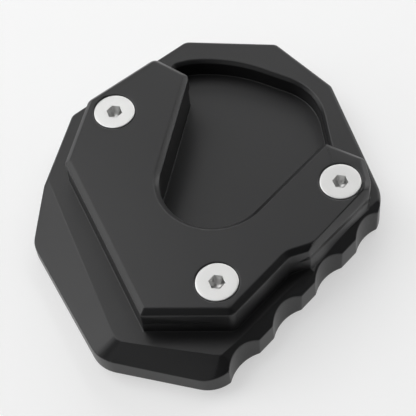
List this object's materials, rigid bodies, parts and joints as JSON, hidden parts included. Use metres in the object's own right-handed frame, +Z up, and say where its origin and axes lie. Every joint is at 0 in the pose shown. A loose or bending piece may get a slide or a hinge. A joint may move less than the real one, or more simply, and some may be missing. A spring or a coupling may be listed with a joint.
{
  "type": "side stand foot enlarger",
  "caption": "Milled base plate with a foot pocket and grip scallops, a U-shaped clamp plate over it and countersunk socket screws, to widen a motorcycle side stand's foot.",
  "frame": {"origin": "middle of the object's box, on the flat underside", "axes": "+Z up out of the ground, +Y towards the open end of the U and the pocket's far wall, +X towards the wall with the grip scallops"},
  "size_m": [0.1005, 0.1152, 0.021],
  "materials": {
    "black_anodised": "satin black anodised, milled",
    "stainless": "plain stainless, lightly brushed"
  },
  "bodies": {
    "root": {"base_plate": "black_anodised", "clamp_plate": "black_anodised", "countersunk_screws": "stainless"}
  },
  "joints": []
}
